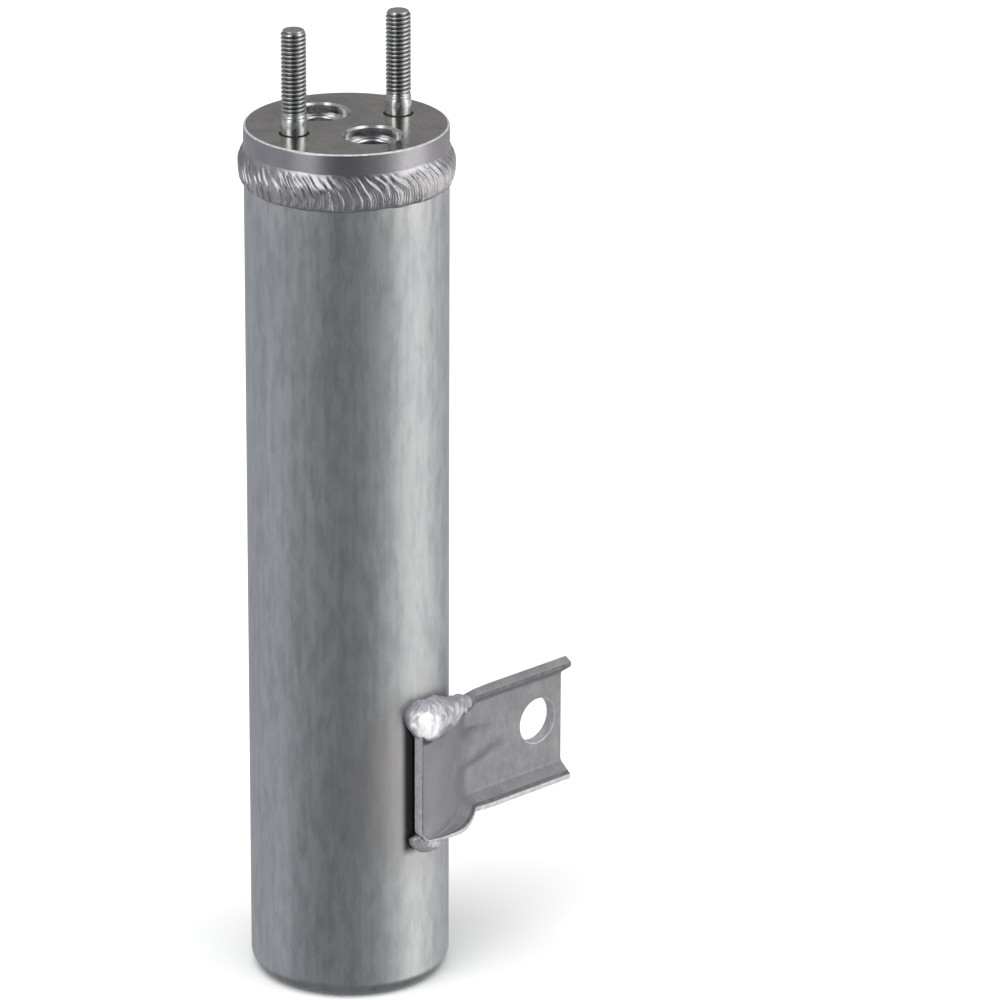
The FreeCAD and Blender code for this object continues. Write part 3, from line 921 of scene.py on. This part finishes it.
def foot_outline(angle):
    foot_mid = foot_back + sheet / 2
    along = bend_length + radians(bend_axis_angle - angle) * foot_mid
    to_end = radians(angle - foot_end_angle) * foot_mid
    inside = min(max(foot_corner - to_end, 0.0), foot_corner)
    trim = foot_corner - sqrt(foot_corner ** 2 - inside ** 2)
    fading = smooth((angle - foot_end_angle) / (flange_fade_angle - foot_end_angle))
    return sheet_outline(along, trim, fading)


def placed(at, out, outline):
    return [(at, out, reach, up) for reach, up in outline]


def bracket_stations():
    """Sections from the arm's free end to the foot's end, each as (place, outward, reach, up)."""
    stations = []
    arm_outline = sheet_outline(-taper_length, 0, 1)
    rim = 0.28
    for step in (90, 60, 30):
        turn = radians(step)
        at = arm_dir * (arm_reach - rim + rim * sin(turn)) + arm_out * arm_back
        stations.append(placed(at, arm_out, shrunk_outline(arm_outline, rim * (1 - cos(turn)))))
    arm_steps, taper_steps, bend_steps, foot_steps = 34, 10, 30, 50
    for i in range(arm_steps):
        reach = mix(arm_reach - rim, bend_start + taper_length, i / arm_steps)
        stations.append(placed(arm_dir * reach + arm_out * arm_back, arm_out, arm_outline))
    for i in range(taper_steps):
        before = taper_length * (1 - i / taper_steps)
        at = arm_dir * (bend_start + before) + arm_out * arm_back
        stations.append(placed(at, arm_out, sheet_outline(-before, 0, 1)))
    for i in range(bend_steps):
        share = i / bend_steps
        out = outward(radians(mix(arm_angle - 90, bend_axis_angle, share)))
        at = bend_axis - out * (sheet + bend_radius)
        stations.append(placed(at, out, sheet_outline(bend_length * share, 0, 1)))
    corner_angle = degrees(foot_corner / (foot_back + sheet / 2))
    corner_start = foot_end_angle + corner_angle
    angles = [mix(bend_axis_angle, corner_start, i / foot_steps) for i in range(foot_steps)]
    corner_shares = 0, 0.15, 0.3, 0.45, 0.58, 0.7, 0.8, 0.88, 0.94
    angles += [corner_start - corner_angle * share for share in corner_shares]
    for angle in angles:
        out = outward(radians(angle))
        stations.append(placed(out * foot_back, out, foot_outline(angle)))
    end_rim = 0.16
    for step in (30, 60, 90):
        turn = radians(step)
        angle = foot_end_angle + degrees(end_rim * (1 - sin(turn)) / foot_back)
        out = outward(radians(angle))
        outline = foot_outline(max(angle, foot_end_angle + 0.2))
        outline = shrunk_outline(outline, end_rim * (1 - cos(turn)))
        stations.append(placed(out * foot_back, out, outline))
    return stations


dart_from = outward(radians(dart_foot_end)) * (foot_back + sheet)
dart_from.z = dart_foot_level
dart_to = arm_dir * dart_arm_end + arm_out * (arm_back + sheet)
dart_to.z = dart_arm_level
dart_crest = (dart_to - dart_from).normalized()
dart_inward = dart_crest.cross(UP).normalized()
if dart_inward.dot(arm_out) > 0:
    dart_inward = dart_inward * -1
dart_axis = dart_from + dart_inward * dart_radius
dart_run = (dart_to - dart_from).length


def dart_distance(point, radius):
    along = (point - dart_axis).dot(dart_crest)
    aside = (point - dart_axis - dart_crest * along).length - radius
    return max(aside, -along, along - dart_run)


def pressed(point, out, radius, soft):
    """How far the dart lifts the sheet's face at a point."""
    far, highest, halvings = 6, 7.0, 22
    if dart_distance(point, radius) > far:
        return 0.0
    low, high = 0.0, highest
    for _ in range(halvings):
        t = (low + high) / 2
        solid = dart_distance(point + out * t, radius)
        near = max(soft - abs(t - solid), 0.0) / soft
        joined = min(t, solid) - near * near * soft / 4
        if joined < 0:
            low = t
        else:
            high = t
    return low


def make_bracket(surface, edge_highlight_surface, shade_surface):
    rings = []
    for station in bracket_stations():
        ring = []
        for at, out, reach, up in station:
            point = at + out * reach + UP * (bracket_level + up)
            on_flat = abs(up) < dart_half
            if abs(reach - sheet) < 0.02 and on_flat:
                above = smooth((point - dart_axis).dot(UP) / 2.5)
                point = point + out * pressed(point, out, dart_radius, mix(1.5, 0.5, above))
            elif abs(reach) < 0.02 and on_flat:
                point = point + out * pressed(point, out, dart_radius - sheet, 0.8)
            ring.append(point)
        rings.append(ring)
    bm = bmesh.new()
    made, faces = skin(bm, rings)
    count = len(rings[0])
    end_stations = 4
    # A row of the upper half and its twin in the lower half add up to this
    twins = half_rows * 2 + front_rows - 3
    for index, face in enumerate(faces):
        row = index % count
        # The lower half's edge rows take the bright edge finish as a painted highlight; its shade rows and
        # the upper lip take painted shade
        if twins - row in edge_highlight_rows:
            face.material_index = 1
        elif row in lip_shade_rows or twins - row in shade_rows:
            face.material_index = 2
        if index // count >= len(rings) - end_stations:
            face.material_index = 1
    for ring in (made[0], list(reversed(made[-1]))):
        bm.faces.new(ring).material_index = 1
    pierce(bm)
    piece = to_object(bm, "bracket_sheet", 38)
    finished(piece, "bracket", [surface, edge_highlight_surface, shade_surface])


def pierce(bm):
    """The hole through the arm: the flats round it are filled up to its edge, and its wall added."""
    middle = arm_dir * hole_reach + UP * hole_level
    arm_front = arm_back + sheet
    profile = [
        (hole_r + 0.30, arm_front), (hole_r + 0.10, arm_front - 0.10), (hole_r, arm_front - 0.3),
        (hole_r, arm_back + 0.22), (hole_r + 0.08, arm_back + 0.07), (hole_r + 0.22, arm_back),
    ]
    hole_steps, cleared = 96, 7.0
    rings = []
    for radius, out in profile:
        ring = []
        for k in range(hole_steps):
            turn = 2 * pi * k / hole_steps
            aside = arm_dir * (radius * cos(turn)) + UP * (radius * sin(turn))
            ring.append(middle + arm_out * out + aside)
        rings.append(ring)

    def on_plane(item, plane):
        return all(abs((vert.co - middle).dot(arm_out) - plane) < 0.001 for vert in item.verts)

    for plane in (arm_front, arm_back):
        gone = []
        for face in bm.faces:
            away = face.calc_center_median() - middle
            if on_plane(face, plane) and max(abs(away.dot(arm_dir)), abs(away.z)) < cleared:
                gone.append(face)
        bmesh.ops.delete(bm, geom=gone, context="FACES")
    for face in skin(bm, rings)[1]:
        face.material_index = 1
    for plane in (arm_front, arm_back):
        edges = [edge for edge in bm.edges if edge.is_boundary and on_plane(edge, plane)]
        bmesh.ops.triangle_fill(bm, edges=edges, use_beauty=True, use_dissolve=False)


# Welds that hold the bracket

# Lines of the beads: angle round the can in degrees, level, distance out from the can, bead's radius
top_bead = (
    (-89.0, 71.6, 0.8, 1.2), (-86.0, 71.2, 1.0, 3.1), (-81.0, 70.6, 1.0, 4.8), (-74.0, 70.1, 1.1, 5.3),
    (-67.0, 70.0, 1.3, 5.0), (-60.0, 70.2, 2.1, 3.85), (-54.0, 70.6, 3.6, 2.7), (-49.0, 70.7, 4.9, 1.9),
    (-46.5, 70.6, 5.1, 0.8),
)
low_bead = (
    (-86.0, 39.4, 0.8, 1.0), (-82.0, 38.8, 1.0, 2.0), (-75.0, 38.2, 1.0, 2.5),
    (-68.0, 38.0, 1.0, 2.1), (-62.0, 38.2, 1.0, 1.2),
)
# Lumps on the beads: height, size and shift of the noise
bead_lumps = (0.55, 5.0, 8), (0.60, 3.4, 3), (0.16, 1.2, 5), (0.05, 0.4, 0)


def along_table(table, t):
    """Smoothly interpolated line of the table at a share of its length."""
    place = t * (len(table) - 1)
    i = min(int(place), len(table) - 2)
    f = place - i
    p0 = table[max(i - 1, 0)]
    p1, p2 = table[i], table[i + 1]
    p3 = table[min(i + 2, len(table) - 1)]
    values = []
    for a, b, c, d in zip(p0, p1, p2, p3):
        values.append(b + 0.5 * f * (c - a + f * (2 * a - 5 * b + 4 * c - d + f * (3 * (b - c) + d - a))))
    return values


def make_bead(name, replaced, table, surface, pitch, seed):
    stations, sides = 190, 96
    floor_r = can_r - 0.5
    rings = []
    for i in range(stations + 1):
        t = i / stations
        angle, level, stand_off, radius = along_table(table, t)
        end = min(t, 1 - t) * stations
        radius *= sqrt(min(1.0, (end + 0.35) / 7.0))
        out = outward(radians(angle))
        middle = out * (can_r + stand_off) + UP * level
        arclength = radians(angle) * (can_r + 3)
        calm = 0.35 + 0.45 * smooth((angle + 82.0) / 14.0) * smooth((-50.0 - angle) / 8.0)
        ring = []
        for k in range(sides):
            around = 2 * pi * k / sides
            way = out * cos(around) + UP * sin(around)
            here = middle + way * radius
            curve = 2.6 * cos(around + 0.7)
            scale = ripple((arclength + curve + 0.9 * rough(here, 3.0, seed)) / pitch)
            lump = sum(rise * rough(here, size, seed + shift) for rise, size, shift in bead_lumps)
            depth = min(radius, 3.0) / 3.0
            reach = radius + depth * (0.30 * calm * (scale - 0.5) + lump)
            point = middle + way * reach
            flat = hypot(point.x, point.y)
            if flat < floor_r:
                point.x *= floor_r / flat
                point.y *= floor_r / flat
            ring.append(point)
        rings.append(ring)
    first, last = [sum(ring, Vector()) / sides for ring in (rings[0], rings[-1])]
    bm = bmesh.new()
    skin(bm, [[first]] + rings + [[last]])
    finished(to_object(bm, name, 70, weighted=False), replaced, [surface])


# Build the visible pieces

can_surface = can_material()
head_weld_surface = weld_material("head_weld_metal", (0.50, 0.495, 0.515), 1.45)
white_crust = (4.0, -28.6, 70.0)
bracket_weld_surface = weld_material("bracket_weld_metal", (0.40, 0.395, 0.43), 1.5, 0.7, white_crust)
body_surface = plain_material("head_body", (0.52, 0.53, 0.53), (0.64, 0.65, 0.65), 2.0, 1.0, 0.3, 0.5)
zinc_surface = stud_material()

make_can(can_surface)
make_head(
    face_material(), side_material(), port_material(), body_surface,
    # Painted highlight along the head's top edge
    plain_material("head_rim", (0.45, 0.45, 0.465), (0.80, 0.80, 0.81), 1.6, 0.45, 0.2, 0.35),
    # Painted shade in the stud seats
    plain_material("seat_shade", (0.03, 0.03, 0.03), (0.09, 0.09, 0.09), 0.8, 0.3, 0.5, 0.7),
)
make_head_weld(head_weld_surface)
make_stud("stud_left_thread", -stud_x, "stud_left", zinc_surface, 0.13)
make_stud("stud_right_thread", stud_x, "stud_right", zinc_surface, 0.61)
# The third finish is painted shade on the flanges' lips
make_bracket(bracket_material(), edge_material(), plain_material(
    "bracket_lip_shade", (0.13, 0.13, 0.14), (0.24, 0.24, 0.25), 1.5, 0.5, 0.4, 0.6))
make_bead("bracket_bead_top", "bracket_weld_top", top_bead, bracket_weld_surface, 2.3, 2.3)
make_bead("bracket_bead_bottom", "bracket_weld_bottom", low_bead, bracket_weld_surface, 1.1, 6.1)

tube = plain_material(
    "tube_aluminium", (0.55, 0.56, 0.57), (0.70, 0.71, 0.72), 1.5, 1.0, 0.25, 0.45, 0.01, (1, 1, 0.05))
seal = plain_material("seal_rubber", (0.012, 0.012, 0.013), (0.03, 0.03, 0.032), 0.8, 0.0, 0.45, 0.7)
steel = plain_material("plate_steel", (0.42, 0.42, 0.41), (0.58, 0.58, 0.57), 2.0, 1.0, 0.3, 0.5)
felt = plain_material("pad_felt", (0.55, 0.53, 0.47), (0.78, 0.76, 0.70), 0.7, 0.0, 0.85, 1.0, 0.25)
beads = beads_material()
spring = plain_material("spring_steel", (0.20, 0.20, 0.21), (0.36, 0.36, 0.37), 0.8, 1.0, 0.28, 0.45)
plastic = plain_material("cage_plastic", (0.70, 0.69, 0.64), (0.82, 0.81, 0.77), 1.2, 0.0, 0.4, 0.6)
wire = plain_material("strainer_wire", (0.30, 0.30, 0.29), (0.62, 0.62, 0.60), 0.25, 1.0, 0.35, 0.6, 0.08)
inner_surfaces = {
    "pickup_tube": tube, "tube_seal": seal, "lower_clip": steel, "lower_plate": steel, "upper_plate": steel,
    "lower_pad": felt, "upper_pad": felt, "desiccant_charge": beads, "retaining_spring": spring,
    "strainer_cage": plastic, "strainer_mesh": wire,
}
for name, surface in inner_surfaces.items():
    for place in frame["nodes"][name].material_slots:
        place.material = surface


# Floor, light and camera

def make_floor():
    bm = bmesh.new()
    half, below = 6000, 0.02
    corners = (-half, -half), (half, -half), (half, half), (-half, half)
    bm.faces.new([bm.verts.new((x, y, -below)) for x, y in corners])
    ground = to_object(bm, "studio_floor", weighted=False)
    made = material("floor_paper", Metallic=0.0, Roughness=0.9, Specular_IOR_Level=0.0)
    tone = ramp(grain(300.0, 2), [(0.3, (0.83, 0.83, 0.83)), (0.7, (0.85, 0.85, 0.85))])
    tree.links.new(tone, tree.nodes["Principled BSDF"].inputs["Base Color"])
    ground.data.materials.append(made)
    ground.visible_glossy = False


# Camera of the photograph: place in millimetres, focal length in the photograph's pixels
camera_place = Vector((0, -1424.6, 670.1))
focal_pixels, photo_width, sensor_width = 6447.9, 1000, 36.0
yaw, pitch, roll = radians(1.446), radians(21.141), radians(0.260)
turntable = radians(-32)


def make_camera():
    forward = Vector((sin(yaw) * cos(pitch), cos(yaw) * cos(pitch), -sin(pitch)))
    level = Vector((cos(yaw), -sin(yaw), 0))
    upward = level.cross(forward)
    right = level * cos(roll) + upward * sin(roll)
    upward = upward * cos(roll) - level * sin(roll)
    spin = Matrix.Rotation(turntable, 3, "Z")
    axes = [spin @ axis for axis in (right, upward, forward * -1)]
    place = spin @ (camera_place * MM)
    data = bpy.data.cameras.new("photo_camera")
    data.sensor_fit = "HORIZONTAL"
    data.sensor_width = sensor_width
    data.lens = focal_pixels / photo_width * sensor_width
    data.clip_start = 0.05
    data.clip_end = 30.0
    camera = bpy.data.objects.new("photo_camera", data)
    scene.collection.objects.link(camera)
    pose = Matrix(axes).transposed().to_4x4()
    pose.translation = place
    camera.matrix_world = pose
    scene.camera = camera


# Light of the studio by direction, as (share of a full turn, colour or brightness), well below the
# horizon and from the horizon up. The turn starts behind the object and runs anticlockwise seen from
# above.
low_light = [
    (0.0, (0.47, 0.46, 0.49)), (0.20, (0.49, 0.48, 0.51)), (0.285, (0.54, 0.515, 0.55)),
    (0.325, (0.185, 0.185, 0.195)), (0.47, (0.195, 0.195, 0.205)), (0.53, (0.28, 0.28, 0.29)),
    (0.59, (0.38, 0.38, 0.38)), (0.65, (0.56, 0.54, 0.53)), (0.685, (1.25, 1.17, 1.14)),
    (0.76, (1.25, 1.17, 1.14)), (0.79, (0.85, 0.81, 0.80)), (0.85, (0.62, 0.59, 0.60)),
    (1.0, (0.47, 0.46, 0.49)),
]
high_light = [
    (0.0, 0.27), (0.08, 0.27), (0.16, 0.30), (0.31, 0.40), (0.345, 1.7), (0.40, 1.7), (0.43, 0.35),
    (0.47, 0.06), (0.54, 0.05), (0.60, 0.22), (0.655, 0.8), (0.68, 1.5), (0.74, 1.5), (0.77, 0.62),
    (0.85, 0.38), (0.92, 0.27), (1.0, 0.27),
]
straight_down = (0.20, 0.20, 0.21)
straight_up = (0.46, 0.46, 0.47)


def make_light():
    global tree
    world = bpy.data.worlds.new("studio")
    scene.world = world
    world.use_nodes = True
    tree = world.node_tree
    background = tree.nodes["Background"]
    way = node("TexCoord").outputs["Generated"]
    angle = -turntable - radians(90)
    spun = node("VectorRotate", {"Vector": way, "Angle": angle}, rotation_type="Z_AXIS").outputs[0]
    parts = node("SeparateXYZ", {0: spun})
    azimuth = calc("ARCTAN2", parts.outputs["Y"], parts.outputs["X"])
    share = calc("FRACT", calc("ADD", calc("DIVIDE", azimuth, 2 * pi), 1.0))
    low = ramp(share, low_light)
    high = ramp(share, high_light)
    upward = parts.outputs["Z"]
    tone = blend(fade(upward, -0.02, -0.28), low, high)
    tone = blend(fade(upward, -0.55, -0.8), straight_down, tone)
    tone = blend(fade(upward, 0.98, 0.93), tone, straight_up)
    tree.links.new(tone, background.inputs["Color"])
    background.inputs["Strength"].default_value = 1.0
    overhead = bpy.data.lights.new("overhead", "SUN")
    overhead.energy = 3.15
    overhead.angle = radians(70)
    lamp = bpy.data.objects.new("overhead", overhead)
    lamp.rotation_euler = (radians(8), radians(-10), 0)
    lamp.visible_glossy = False
    scene.collection.objects.link(lamp)
    scene.view_settings.view_transform = "Standard"
    scene.view_settings.look = "None"


make_floor()
make_light()
make_camera()
